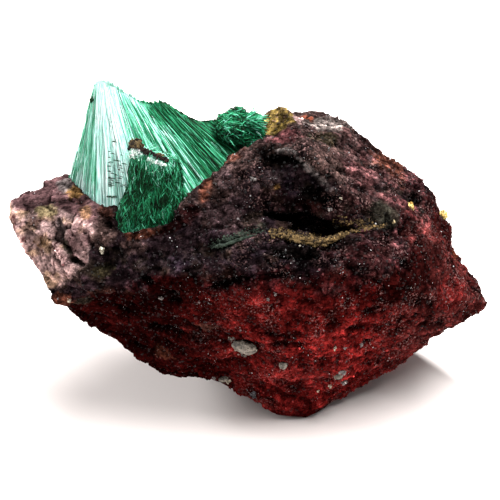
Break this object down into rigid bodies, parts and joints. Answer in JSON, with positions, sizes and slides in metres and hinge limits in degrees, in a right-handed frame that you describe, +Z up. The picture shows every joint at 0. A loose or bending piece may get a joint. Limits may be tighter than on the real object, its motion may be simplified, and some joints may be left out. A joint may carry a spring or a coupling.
{
  "type": "malachite specimen",
  "caption": "Hand-size mineral specimen: a silky fan of radiating green malachite needles in the hollow of a dark red, iron-stained piece of matrix rock.",
  "frame": {"origin": "on the surface that the specimen rests on, under the middle of its bounding box", "axes": "+X to the right of the front, +Y to the back, +Z up; the front, with the slit and the malachite's open side, faces -Y"},
  "size_m": [0.0803, 0.0415, 0.0559],
  "materials": {
    "matrix": "rough, granular, iron-stained dark red with violet, grey-pink and ochre zones",
    "malachite": "silky, fibrous, pale mint where the needles face the light",
    "dark_malachite": "felted, dark green, slightly silky",
    "limonite": "earthy, dull",
    "brown_crust": "earthy, dull",
    "grey_grain": "slightly waxy quartz",
    "ochre_grain": "chalky"
  },
  "bodies": {
    "root": {"matrix_rock": "matrix", "malachite_fan": "malachite", "malachite_front_bundle": "dark_malachite", "malachite_rear_tuft": "dark_malachite", "malachite_front_crust": "brown_crust", "slit_limonite_crust": "limonite", "slit_malachite_vein": "dark_malachite", "quartz_inclusion": "grey_grain", "grey_grain_middle": "grey_grain", "grey_grain_right": "grey_grain", "grey_grain_left": "grey_grain", "ochre_grain_front": "ochre_grain", "ochre_grain_edge": "ochre_grain"}
  },
  "joints": []
}
